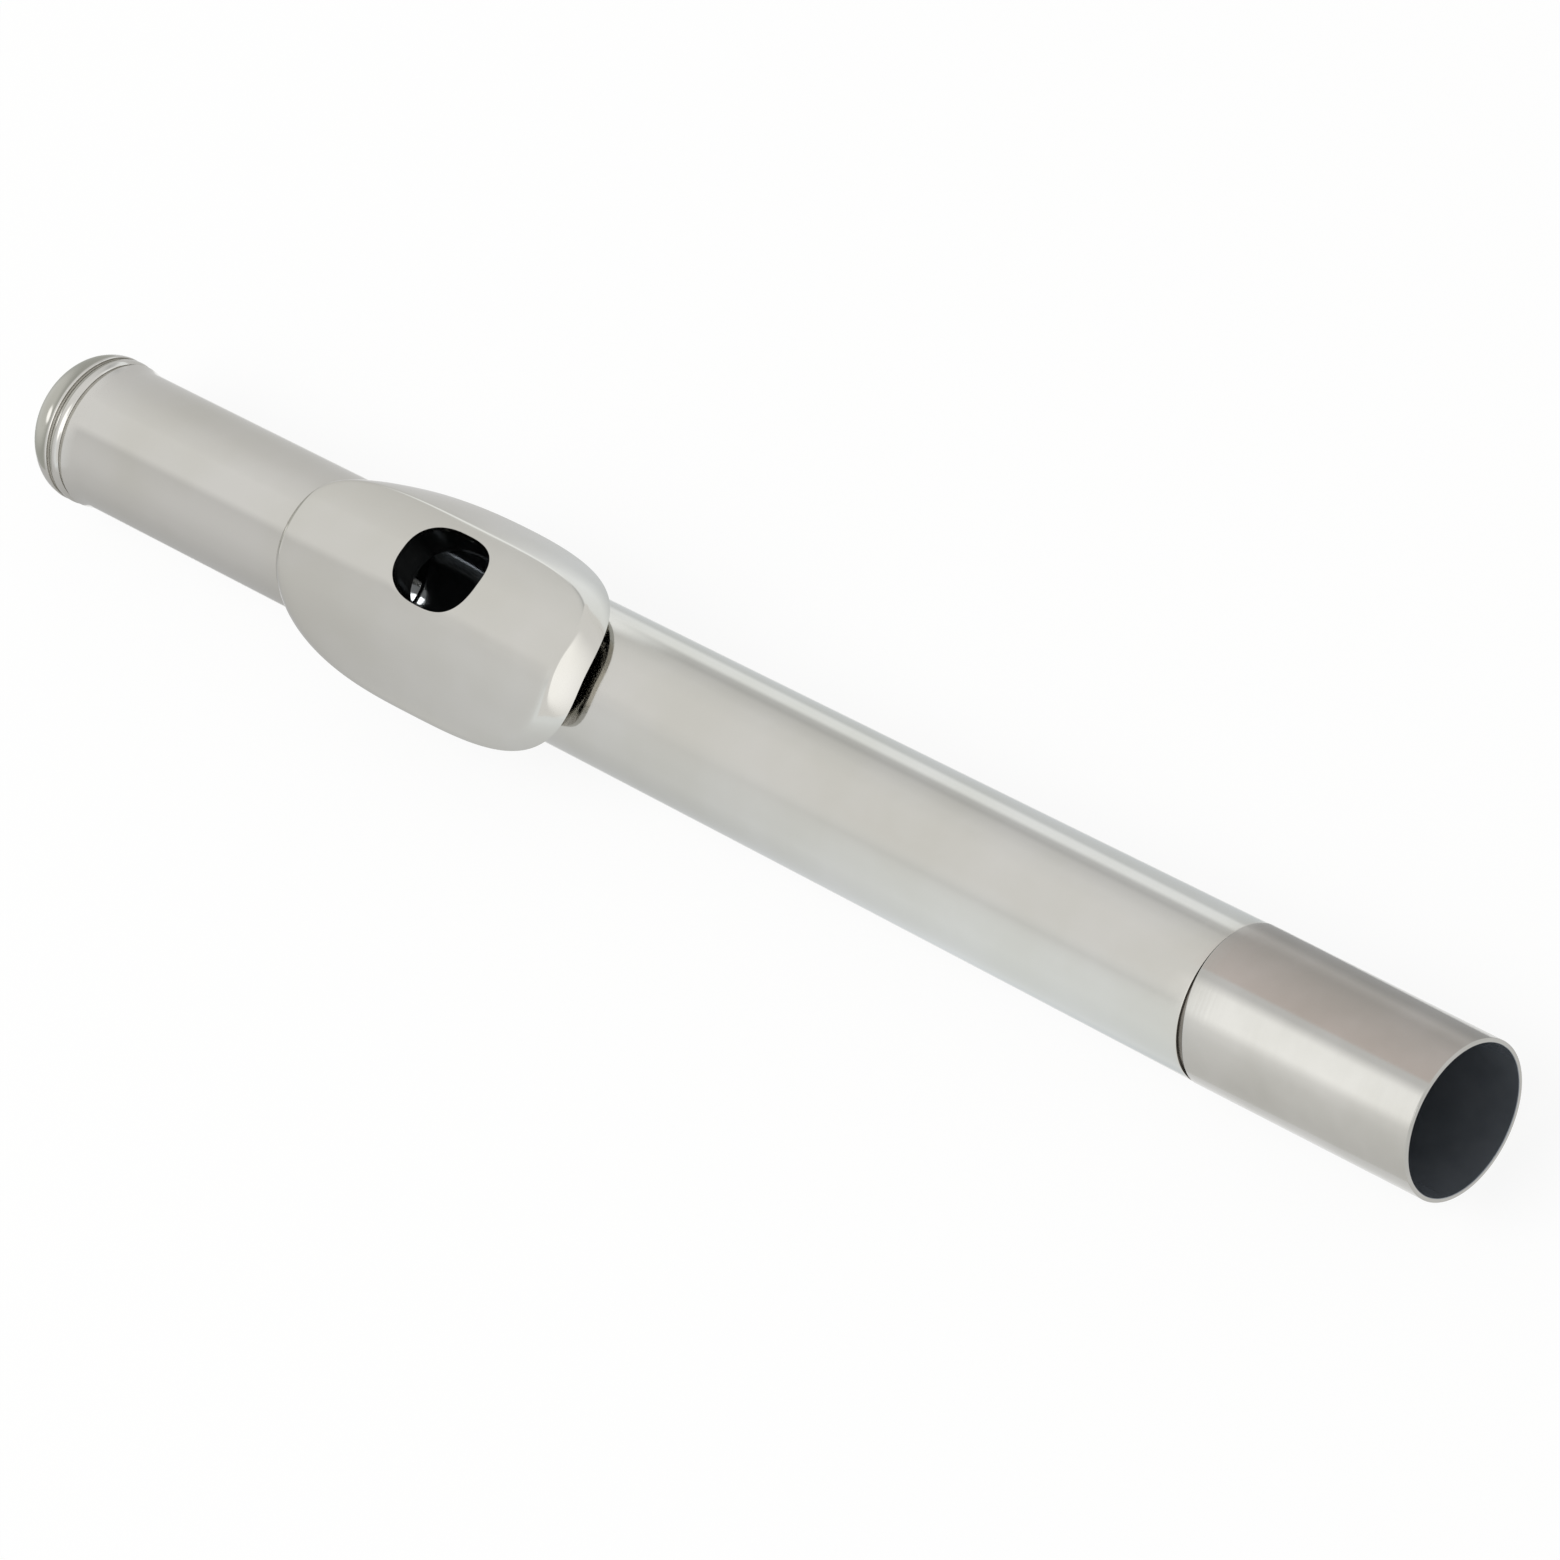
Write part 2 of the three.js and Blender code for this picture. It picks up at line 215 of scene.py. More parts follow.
def startPiece(name):  # a one-point mesh in edit mode, to extrude from
    bpy.ops.object.select_all(action="DESELECT")
    bpy.ops.mesh.primitive_plane_add(size=mm)
    piece = bpy.context.object
    piece.name = name
    piece.data.name = name
    bpy.ops.object.mode_set(mode="EDIT")
    bpy.ops.mesh.merge(type="CENTER")
    return piece


def softCorners(profile):  # a third value on a point rounds that corner, by its setback in mm
    points = []
    last = len(profile) - 1
    for i, entry in enumerate(profile):
        corner = Vector(entry[:2])
        if len(entry) < 3:
            points.append(corner)
            continue
        setback = entry[2]
        before = Vector(profile[i - 1 if i > 0 else last][:2]) - corner
        after = Vector(profile[i + 1 if i < last else 0][:2]) - corner
        start = corner + before.normalized() * setback
        end = corner + after.normalized() * setback
        arc = [start * (1 - u) ** 2 + corner * 2 * u * (1 - u) + end * u ** 2
               for u in spread(0, 1, modelling["arcSteps"])]
        # a close ring on each side keeps the rounding out of the long faces
        if before.length > modelling["guardRoom"] * setback:
            arc.insert(0, corner + before.normalized() * setback * modelling["guardAt"])
        if after.length > modelling["guardRoom"] * setback:
            arc.append(corner + after.normalized() * setback * modelling["guardAt"])
        points += arc
    return points


# a profile of x and radius in mm, spun about the bore's axis; a ring's profile closes on itself
def turnPiece(name, profile, sides, ring=True):
    points = softCorners(profile)
    if ring:
        points.append(points[0])
    piece = startPiece(name)
    bpy.ops.transform.translate(value=rowPoint(points[0].x, 0, points[0].y))
    for before, after in zip(points, points[1:]):
        step = Vector((after.x - before.x, 0, after.y - before.y)) * mm
        bpy.ops.mesh.extrude_region_move(TRANSFORM_OT_translate={"value": step})
    bpy.ops.mesh.select_all(action="SELECT")
    bpy.ops.mesh.spin(steps=sides, angle=fullTurn, center=rowPoint(0, 0, 0), axis=(1, 0, 0))
    closeSeams()
    return piece


def closeSeams():
    bpy.ops.mesh.select_all(action="SELECT")
    bpy.ops.mesh.remove_doubles(threshold=modelling["weldGap"] * mm)
    bpy.ops.mesh.normals_make_consistent(inside=False)
    bpy.ops.object.mode_set(mode="OBJECT")


def growRings(name, rings):  # a circle set to the first ring, then extruded on to each next one
    sides = len(rings[0])
    bpy.ops.object.select_all(action="DESELECT")
    bpy.ops.mesh.primitive_circle_add(vertices=sides, radius=mm)
    piece = bpy.context.object
    piece.name = name
    piece.data.name = name
    bpy.ops.object.mode_set(mode="EDIT")
    order = {i: i for i in range(sides)}
    for k, ring in enumerate(rings):
        if k > 0:
            bpy.ops.mesh.extrude_region_move()
        mesh = bmesh.from_edit_mesh(piece.data)
        mesh.verts.index_update()
        fresh = [v for v in mesh.verts if v.select]
        if k > 0:
            follows = {}
            for v in fresh:
                ends = [e.other_vert(v).index for e in v.link_edges]
                follows[v.index] = next(order[i] for i in ends if i in order)
            order = follows
        for v in fresh:
            v.co = ring[order[v.index]]
        bmesh.update_edit_mesh(piece.data)
    return piece


def bridgeEnds():  # joins the first ring to the last
    bpy.ops.mesh.select_all(action="DESELECT")
    bpy.ops.mesh.select_non_manifold()
    bpy.ops.mesh.bridge_edge_loops()
    closeSeams()


def applyModifier(piece, kind, **settings):
    bpy.ops.object.select_all(action="DESELECT")
    piece.select_set(True)
    bpy.context.view_layer.objects.active = piece
    modifier = piece.modifiers.new(kind.lower(), kind)
    for key, value in settings.items():
        setattr(modifier, key, value)
    bpy.ops.object.modifier_apply(modifier=modifier.name)


def cutWith(piece, cutter):
    applyModifier(piece, "BOOLEAN", operation="DIFFERENCE", solver="EXACT", object=cutter)
    bpy.data.objects.remove(cutter)


def finishPiece(piece, node, body, material, smoothAngle=modelling["smoothAngle"],
                inner=None, shaded=None, filmAndShade=tarnishAndShade):
    bpy.ops.object.select_all(action="DESELECT")
    piece.select_set(True)
    bpy.context.view_layer.objects.active = piece
    bpy.ops.object.shade_smooth_by_angle(angle=math.radians(smoothAngle))
    piece.data.materials.clear()
    piece.data.materials.append(material)
    if inner:  # the bore, and the faces that shaded picks by x and radius, down in a seam; both take darker copies of the metal that paint shade there
        piece.data.materials.append(inner)
        piece.data.materials.append(filmAndShade)
        for face in piece.data.polygons:
            spot = (face.center - rowPoint(0, 0, 0)) / mm
            outward = Vector((0, spot.y, spot.z))
            if shaded(spot.x, outward.length):
                face.material_index = 2
            elif face.normal.dot(outward.normalized()) < modelling["boreFacing"]:
                face.material_index = 1
    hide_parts(node)
    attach(piece, body)
    print("made", piece.name, len(piece.data.polygons), "faces")


# Head tube and tenon, mm

tube = {
    "crownEnd": -63.0, "seam": 118.7, "openEnd": 153.0,
    "radii": {"crown": 8.95, "mouth": 9.18, "seam": 9.94}, "wall": 0.5,
    "flareLength": 2.4, "flareRise": 0.34, "lapLength": 8.0, "lapGap": 0.05,
    "flareRound": 0.12, "seamRound": 0.05, "boreRound": 0.1,
    "sides": 256, "stations": 44, "flareStations": 10}
tenon = {
    "radius": 10.0, "groove": 0.05, "gape": 0.9, "gapeAt": -60, "gapeSpread": 8, "solderGap": 0.3,
    "spigotRound": 0.05, "shoulderRound": 0.06, "rimRound": 0.14, "boreRound": 0.12,
    "tarnishAndShadeFrom": 0.1, "shoulderReach": 0.12, "stations": 8}


def tubeRadius(x):  # a smooth curve through the radii at the crown, mouth hole and seam
    crownX, seamX, radii = tube["crownEnd"], tube["seam"], tube["radii"]
    return (radii["crown"] * x * (x - seamX) / (crownX * (crownX - seamX))
            + radii["mouth"] * (x - crownX) * (x - seamX) / (crownX * seamX)
            + radii["seam"] * (x - crownX) * x / ((seamX - crownX) * seamX))


def boreRadius(x):
    return tubeRadius(x) - tube["wall"]


def makeTube():
    crownX, seamX = tube["crownEnd"], tube["seam"]
    flareX = crownX + tube["flareLength"]
    lapX = seamX - tube["lapLength"]
    lapRadius = tubeRadius(seamX) - tube["wall"] / 2 + tube["lapGap"] / 2
    flare = [(x, tubeRadius(x) + tube["flareRise"] * ((flareX - x) / tube["flareLength"]) ** 2)
             for x in spread(crownX, flareX, tube["flareStations"])]
    outside = [(x, tubeRadius(x)) for x in spread(flareX, seamX, tube["stations"])]
    inside = [(x, boreRadius(x)) for x in spread(lapX, crownX, tube["stations"])]
    profile = [(*flare[0], tube["flareRound"]), *flare[1:], *outside[1:-1],
               (*outside[-1], tube["seamRound"]), (seamX, lapRadius), (lapX, lapRadius), *inside[:-1],
               (*inside[-1], tube["boreRound"])]
    piece = turnPiece("plated_tube", profile, tube["sides"])
    cutWith(piece, mouthCutter())
    # the end face at the seam takes the tarnish, with painted shade
    finishPiece(piece, "head_tube", "head", silverPlate, inner=drawnBore,
                shaded=lambda x, radius: x > seamX - hair)


def makeTenon():
    startX = tube["seam"] - tube["lapLength"] + tenon["solderGap"]
    shoulderX = tube["seam"] + tenon["groove"]
    spigot = tubeRadius(tube["seam"]) - tube["wall"] / 2 - tube["lapGap"] / 2
    inner = boreRadius(tube["seam"])
    outer, endX = tenon["radius"], tube["openEnd"]
    profile = [(startX, spigot, tenon["spigotRound"]), (shoulderX, spigot),
               (shoulderX, outer, tenon["shoulderRound"]),
               *[(x, outer) for x in spread(shoulderX, endX, tenon["stations"])[1:-1]],
               (endX, outer, tenon["rimRound"]), (endX, inner, tenon["boreRound"]),
               *[(x, inner) for x in spread(endX, startX, tenon["stations"])[1:-1]], (startX, inner)]
    piece = turnPiece("bare_tenon", profile, tube["sides"])
    # the shoulder down in the seam takes the tarnish, with painted shade
    finishPiece(piece, "tenon_sleeve", "head", nickelSilver, inner=dulledBoreAndShade,
                shaded=lambda x, radius: x < shoulderX + hair and radius < outer - tenon["tarnishAndShadeFrom"])
    axis = rowPoint(shoulderX, 0, 0)
    widest = math.radians(tenon["gapeAt"])
    for v in piece.data.vertices:  # the seam gapes on the lip side, where the shoulder was filed short
        offset = v.co - axis
        if abs(offset.x) < tenon["shoulderReach"] * mm:
            turn = math.atan2(offset.y, offset.z) - widest
            v.co.x += tenon["gape"] * mm * ((1 + math.cos(turn)) / 2) ** tenon["gapeSpread"]


# Mouth hole, riser and lip plate, mm

mouth = {"length": 12.2, "width": 10.5, "squareness": 2.6, "sides": 192}
plate = {
    "length": 49.5, "lipGap": 5.1, "backGap": 2.45, "endGap": 1.7, "thickness": 0.9, "riserHeight": 3.6,
    "lipDrop": 12.85, "backDrop": 9.3, "lipShift": 3.0, "crownShift": 0.2,
    "lipBand": 0.6, "endBand": 2.35, "blowEdgeMargin": 1.55, "blowEdgeDrop": 1.5, "bandBulge": 0.2,
    "lipFall": 2.6, "backFall": 2.0, "lipSquareness": 2.97, "backSquareness": 2.32, "creaseSquareness": 3.6,
    "creaseSoftness": 0.85, "skin": 0.55, "edgeRound": 0.2, "edgeSteps": 3, "edgeAngle": 65,
    "smoothAngle": 50,
    # rings: in mm from the hole, then as shares of the top and of the band round it
    "holeRings": (0.3, 0.8), "topRings": (0.25, 0.45, 0.65, 0.85), "bandRings": (0.35, 0.6, 0.85)}
riser = {"wall": 1.2, "solderGap": 0.03, "rings": 6}

plateTop = tubeRadius(0) + plate["riserHeight"] + plate["thickness"]
lipReach = tubeRadius(0) + plate["lipGap"]
backReach = tubeRadius(0) + plate["backGap"]
blowEdge = mouth["width"] / 2 + plate["blowEdgeMargin"]


def oval(centreX, centreY, halfLength, lip, back, lipPower, backPower):  # plan outline, lip side at -Y
    points = []
    for angle in spread(0, fullTurn, mouth["sides"])[:-1]:
        c, s = math.cos(angle), math.sin(angle)
        reach, power = (lip + centreY, lipPower) if s < 0 else (back - centreY, backPower)
        radius = (abs(c) ** power + abs(s) ** power) ** (-1 / power)
        points.append(Vector((centreX + halfLength * radius * c, centreY + reach * radius * s)))
    return points


def mouthOval(margin):
    reach = mouth["width"] / 2 + margin
    return oval(0, 0, mouth["length"] / 2 + margin, reach, reach, mouth["squareness"], mouth["squareness"])


def mouthCutter():  # a plug of the mouth hole's outline, from the bore's axis up
    piece = growRings("mouth_cutter", [[rowPoint(p.x, p.y, z) for p in mouthOval(0)]
                                       for z in (0, 2 * tubeRadius(0))])
    bpy.ops.mesh.select_all(action="DESELECT")
    bpy.ops.mesh.select_non_manifold()
    bpy.ops.mesh.edge_face_add()
    bpy.ops.mesh.select_all(action="SELECT")
    bpy.ops.mesh.fill_holes(sides=0)
    closeSeams()
    return piece


def plateHeight(y):
    if y < 0:
        return plateTop - plate["lipDrop"] * (-y / lipReach) ** plate["lipFall"]
    return plateTop - plate["blowEdgeDrop"] * (y / blowEdge) ** plate["backFall"]


def plateUnderside(y):
    step = 0.05
    slope = (plateHeight(y + step) - plateHeight(y - step)) / (2 * step)
    return plateHeight(y) - plate["skin"] * math.hypot(1, slope)


def makePlate():
    halfLength = plate["length"] / 2
    hole = mouthOval(0)
    middle = -plate["crownShift"], -plate["lipShift"]
    crease = oval(*middle, halfLength - plate["endBand"], lipReach - plate["lipBand"], blowEdge,
                  plate["creaseSquareness"], plate["creaseSquareness"])
    rim = oval(*middle, halfLength, lipReach, backReach, plate["lipSquareness"], plate["backSquareness"])
    soft = plate["creaseSoftness"]
    columns = []
    for a, b, c in zip(hole, crease, rim):
        reach = (b - a).length
        shares = [0, *[r / reach for r in plate["holeRings"]], *plate["topRings"], 1 - soft / reach, 1]
        column = []
        for share in sorted(shares):
            p = a.lerp(b, share)
            column.append(Vector((p.x, p.y, plateHeight(p.y))))
        end = tubeRadius(c.x) + plate["endGap"]
        drop, side = (plate["lipDrop"], lipReach) if c.y < 0 else (plate["backDrop"], backReach)
        foot = Vector((c.x, c.y, end + (plateTop - drop - end) * (c.y / side) ** 2))
        fall = foot - column[-1]
        outward = Vector((fall.x, fall.y, 0)).normalized()
        for share in sorted([soft / fall.length, *plate["bandRings"], 1]):
            column.append(column[len(shares) - 1] + fall * share
                          + outward * 4 * plate["bandBulge"] * share * (1 - share))
        columns.append(column)
    rings = [[rowPoint(*p) for p in ring] for ring in zip(*columns)]
    piece = growRings("lip_plate_skin", rings)
    closeSeams()
    if max(piece.data.polygons, key=lambda face: face.center.z).normal.z < 0:
        piece.data.flip_normals()
    applyModifier(piece, "SOLIDIFY", thickness=plate["skin"] * mm, offset=-1, use_even_offset=True)
    applyModifier(piece, "BEVEL", width=plate["edgeRound"] * mm, segments=plate["edgeSteps"],
                  limit_method="ANGLE", angle_limit=math.radians(plate["edgeAngle"]))
    applyModifier(piece, "SUBSURF", levels=1, render_levels=1)
    finishPiece(piece, "lip_plate", "head", silverPlate, smoothAngle=plate["smoothAngle"])


def makeRiser():
    inner, outer = mouthOval(0), mouthOval(riser["wall"])
    gap = riser["solderGap"]

    def ring(outline, share):
        points = []
        for p in outline:
            seat = math.sqrt((tubeRadius(p.x) + gap) ** 2 - p.y ** 2)
            head = plateUnderside(p.y) - gap
            points.append(rowPoint(p.x, p.y, seat + (head - seat) * share))
        return points

    rings = [ring(outer, s) for s in spread(0, 1, riser["rings"])]
    rings += [ring(inner, s) for s in spread(1, 0, riser["rings"])]
    piece = growRings("riser_chimney", rings)
    bridgeEnds()
    finishPiece(piece, "riser", "head", silverPlate)


makeTube()
makeTenon()
makePlate()
makeRiser()

# Crown, mm

crown = {
    "radius": 9.4, "seamGap": 0.6, "collarDrop": 0.42, "collarGap": 0.06, "beadWidth": 1.5, "beadSlope": 48,
    "grooveWidth": 0.3, "grooveDepth": 0.24, "domeHeight": 6.5, "edgeRound": 0.2, "wall": 0.8,
    "neckLength": 6.5, "neckClearance": 0.2, "neckRound": 0.2, "innerRound": 0.15, "filmAndShadeRise": 0.12,
    "sides": 256, "domeSteps": 28, "beadSteps": 12, "innerSteps": 14}
bush = {
    "length": 8.0, "radius": 4.0, "flange": 1.5, "clearance": 0.1, "solderGap": 0.3,
    "backRound": 0.3, "flangeRound": 0.15, "frontRound": 0.25, "threadRound": 0.2, "sides": 96}
screw = {
    "radius": 2.0, "pitch": 0.75, "threadDepth": 0.4, "overrun": 1.0, "runout": 0.2, "chamfer": 0.5,
    "threadClearance": 0.1, "holeClearance": 0.15, "sides": 32, "stepsPerPitch": 8, "smoothAngle": 25}

neckRadius = boreRadius(tube["crownEnd"]) - crown["neckClearance"]
domeX = tube["crownEnd"] - crown["seamGap"] - crown["beadWidth"] - crown["grooveWidth"]


def makeCrown():
    radius, foot = crown["radius"], crown["radius"] - crown["grooveDepth"]
    beadX = tube["crownEnd"] - crown["seamGap"] - crown["beadWidth"] / 2
    dome = [(domeX - crown["domeHeight"] * math.cos(a), radius * math.sin(a))
            for a in spread(0, math.pi / 2, crown["domeSteps"])]
    slope = math.radians(crown["beadSlope"])
    beadRadius = crown["beadWidth"] / 2 / math.sin(slope)
    bead = [(beadX + beadRadius * math.sin(a), radius - beadRadius * (1 - math.cos(a)))
            for a in spread(-slope, slope, crown["beadSteps"])]
    innerRadius = neckRadius - crown["wall"]
    innerHeight = crown["domeHeight"] - crown["wall"]
    inside = [(domeX - innerHeight * math.sin(a), innerRadius * math.cos(a))
              for a in spread(0, math.pi / 2, crown["innerSteps"])]
    neckX = tube["crownEnd"] + crown["neckLength"]
    collar, collarX = radius - crown["collarDrop"], tube["crownEnd"] - crown["collarGap"]
    profile = [*dome[:-1], (*dome[-1], crown["edgeRound"]), (domeX, foot), (bead[0][0], foot), *bead,
               (bead[-1][0], collar), (collarX, collar), (collarX, neckRadius),
               (neckX, neckRadius, crown["neckRound"]), (neckX, innerRadius, crown["innerRound"]), *inside]
    piece = turnPiece("domed_crown", profile, crown["sides"], ring=False)

    def filmedAndShaded(x, radius):  # down in the groove, and in the seam beside the tube: these faces take the polish film with painted shade
        inGroove = domeX - hair < x < beadX and radius < foot + crown["filmAndShadeRise"]
        return inGroove or bead[-1][0] - hair < x < collarX + hair

    finishPiece(piece, "crown_cap", "crown", silverPlate, inner=dulledBoreAndShade, shaded=filmedAndShaded,
                filmAndShade=polishFilmAndShade)


def makeBush():
    flangeRadius = neckRadius - crown["wall"] - bush["clearance"]
    thread = screw["radius"] + screw["threadClearance"]
    endX = tube["crownEnd"] + crown["neckLength"]
    startX = endX - bush["length"]
    flangeX = endX - bush["flange"] - bush["solderGap"]
    frontX = flangeX + bush["flange"]
    profile = [(startX, bush["radius"], bush["backRound"]), (flangeX, bush["radius"]),
               (flangeX, flangeRadius, bush["flangeRound"]), (frontX, flangeRadius, bush["flangeRound"]),
               (frontX, bush["radius"]), (endX, bush["radius"], bush["frontRound"]),
               (endX, thread, bush["threadRound"]), (startX, thread, bush["threadRound"])]
    piece = turnPiece("threaded_bush", profile, bush["sides"])
    finishPiece(piece, "crown_bush", "crown", turnedBrass)


# Stopper, mm

stopper = {"toMouth": 17.3, "boreClearance": 0.15, "sides": 128}
reflector = {"thickness": 1.2, "backRound": 0.15, "faceRound": 0.2, "dishRadius": 0.6, "dishDepth": 0.1}
corkPlug = {
    "length": 15.0, "edgeRound": 0.5, "holeRound": 0.2, "stations": 30, "pitSize": 1.4, "pitDepth": 0.06,
    "smoothAngle": 60}
washer = {"thickness": 1.0, "radius": 7.0, "edgeRound": 0.2, "holeRound": 0.1}
nut = {
    "length": 3.0, "acrossFlats": 8.0, "edgeRound": 0.25, "edgeSteps": 2, "edgeAngle": 40, "holeSides": 64}

faceX = -stopper["toMouth"]
corkX = faceX - reflector["thickness"]
rearX = corkX - corkPlug["length"]
nutX = rearX - washer["thickness"]
screwHole = screw["radius"] + screw["holeClearance"]


def makeFrontPlate():  # a dished centre from facing it on the lathe
    radius = boreRadius(corkX) - stopper["boreClearance"]
    profile = [(corkX, 0), (corkX, radius, reflector["backRound"]), (faceX, radius, reflector["faceRound"]),
               (faceX, reflector["dishRadius"]), (faceX - reflector["dishDepth"], 0)]
    piece = turnPiece("reflector_disc", profile, stopper["sides"], ring=False)
    finishPiece(piece, "stopper_front_plate", "stopper", lappedSilver)


def makeCork():
    radius = boreRadius(rearX) - stopper["boreClearance"]
    profile = [(rearX, radius, corkPlug["edgeRound"]),
               *[(x, radius) for x in spread(rearX, corkX, corkPlug["stations"])[1:-1]],
               (corkX, radius, corkPlug["edgeRound"]), (corkX, screwHole, corkPlug["holeRound"]),
               (rearX, screwHole, corkPlug["holeRound"])]
    piece = turnPiece("stopper_cork_plug", profile, stopper["sides"])
    pits = bpy.data.textures.new("corkPits", "CLOUDS")
    pits.noise_scale = corkPlug["pitSize"] * mm
    applyModifier(piece, "DISPLACE", texture=pits, texture_coords="LOCAL", mid_level=1.0,
                  strength=corkPlug["pitDepth"] * mm)
    finishPiece(piece, "stopper_cork", "stopper", naturalCork, smoothAngle=corkPlug["smoothAngle"])


def makeRearPlate():
    radius, edge, hole = washer["radius"], washer["edgeRound"], washer["holeRound"]
    profile = [(nutX, radius, edge), (rearX, radius, edge),
               (rearX, screwHole, hole), (nutX, screwHole, hole)]
    piece = turnPiece("washer_disc", profile, stopper["sides"])
    finishPiece(piece, "stopper_rear_plate", "stopper", nickelSilver)


def makeNut():
    bpy.ops.object.select_all(action="DESELECT")
    middle, alongBore = rowPoint(nutX - nut["length"] / 2, 0, 0), (0, math.pi / 2, 0)
    corner = nut["acrossFlats"] / 2 / math.cos(math.pi / 6)
    thread = screw["radius"] + screw["threadClearance"]
    bpy.ops.mesh.primitive_cylinder_add(vertices=6, radius=corner * mm, depth=nut["length"] * mm,
                                        location=middle, rotation=alongBore)
    piece = bpy.context.object
    piece.name = piece.data.name = "hex_nut"
    bpy.ops.object.transform_apply(location=True, rotation=True, scale=True)
    bpy.ops.mesh.primitive_cylinder_add(vertices=nut["holeSides"], radius=thread * mm,
                                        depth=2 * nut["length"] * mm, location=middle, rotation=alongBore)
    cutWith(piece, bpy.context.object)
    applyModifier(piece, "BEVEL", width=nut["edgeRound"] * mm, segments=nut["edgeSteps"],
                  limit_method="ANGLE", angle_limit=math.radians(nut["edgeAngle"]))
    finishPiece(piece, "stopper_nut", "stopper", turnedBrass)


def makeScrew():  # a plain rod first, then its rings are pressed in along a helix to cut the thread
    startX = tube["crownEnd"] + crown["neckLength"] - bush["length"] - screw["overrun"]
    threadEnd = nutX - screw["runout"]
    count = round((threadEnd - startX) / screw["pitch"] * screw["stepsPerPitch"])
    rod = [(x, screw["radius"]) for x in spread(startX, threadEnd, count)]
    profile = [(startX, 0), *rod, (corkX, screw["radius"]), (corkX, 0)]
    piece = turnPiece("threaded_rod", profile, screw["sides"], ring=False)
    axis = rowPoint(startX, 0, 0)
    for v in piece.data.vertices:
        offset = v.co - axis
        radius = math.hypot(offset.y, offset.z)
        along = offset.x / mm
        if radius < screw["radius"] * mm / 2 or along > threadEnd - startX:
            continue
        turn = (along / screw["pitch"] - math.atan2(offset.z, offset.y) / fullTurn) % 1
        depth = screw["threadDepth"] * (1 - abs(2 * turn - 1))
        depth = max(depth, screw["chamfer"] - along)
        scale = (screw["radius"] - depth) * mm / radius
        v.co.y = axis.y + offset.y * scale
        v.co.z = axis.z + offset.z * scale
    finishPiece(piece, "stopper_screw", "stopper", turnedBrass, smoothAngle=screw["smoothAngle"])


makeCrown()
makeBush()
makeFrontPlate()
makeCork()
makeRearPlate()
makeNut()
makeScrew()

# Stage: a white floor, a white room, and cards that only the metal sees

# from beyond the open end, above and on the lip side
view = {"at": (0.8667, -0.31476, 1.18145), "turn": (31.5763, 22.3137, 38.1286), "lens": 294.61,
        "sensor": 36, "clipEnd": 20}

studio = {
    "floor": {"size": 8.0, "drop": 0.2 * mm, "colour": "#F2F2F0", "shadowShare": 0.12},
    "room": {"seen": 1.0, "fill": 0.7},
    "key": {"at": (-0.6, -0.7, 1.4), "size": 1.2, "watts": 14}}

# how finely the cards are made, how near they go to the tube's outline and the floor, and the ovals' edge
cardMesh = {
    "columns": 40, "stepsPerTone": 4, "widest": 0.99, "lowest": mm, "ovalSides": 64, "ovalEdge": 0.99}

# curved cards, placed by where they show in the view: along the tube in mm of the frame, and across it
# in mm from its middle line, up positive. Each has its tones at one place along it or more and blends
# between them. Its tint grows from the first tone to the last, and from the first place to the last.
# One kind arches over the tube at a distance. The other stands across it as a wall and is lit on the side
# towards the open end. Distances and walls are in metres.
curvedCards = [
    {"name": "backCard", "distance": 0.2, "tint": "#F7FCFF", "along": (-300, 77.9),
     "across": [2.8, 4.7, 6.1, 6.6, 7.2, 7.6, 8.3, 8.6, 9.9],
     "stations": [(-45, [0.98, 0.90, 0.82, 0.80, 0.78, 0.76, 0.74, 0.73, 0.70]),
                  (-22, [1.0, 0.95, 0.82, 0.68, 0.78, 1.2, 1.17, 0.84, 0.77])]},
    {"name": "frontCard", "distance": 0.2, "tint": "#F5FBFF", "along": (-300, 77.9),
     "across": [-0.6, -1.5, -2.1, -2.7, -3.4, -4.4, -6.7, -9.2, -9.8],
     "stations": [(-60, [1.0, 0.79, 0.81, 0.82, 0.83, 0.82, 0.72, 0.54, 0.45]),
                  (0, [1.0, 1.0, 0.98, 0.94, 0.95, 0.95, 0.92, 0.74, 0.6]),
                  (45, [1.0, 1.02, 1.0, 0.94, 1.04, 1.1, 1.12, 1.02, 0.8])]},
    {"name": "tenonBack", "wall": 0.035, "tint": "#FFF3EE", "along": (78.1, 125),
     "across": [9.9, 9.0, 8.2, 7.3, 6.0, 4.0, 2.0],
     "stations": [(78, [0.5, 0.56, 0.77, 0.69, 0.78, 0.86, 0.92])]},
    {"name": "tenonSoftbox", "wall": 0.035, "tint": "#FFFEFB", "along": (78.1, 125),
     "across": [1.2, 0.05, -2.8, -3.9, -5.2, -7.0, -9.2],
     "stations": [(78, [1.0, 1.66, 1.68, 1.26, 1.09, 1.0, 0.86])]},
]

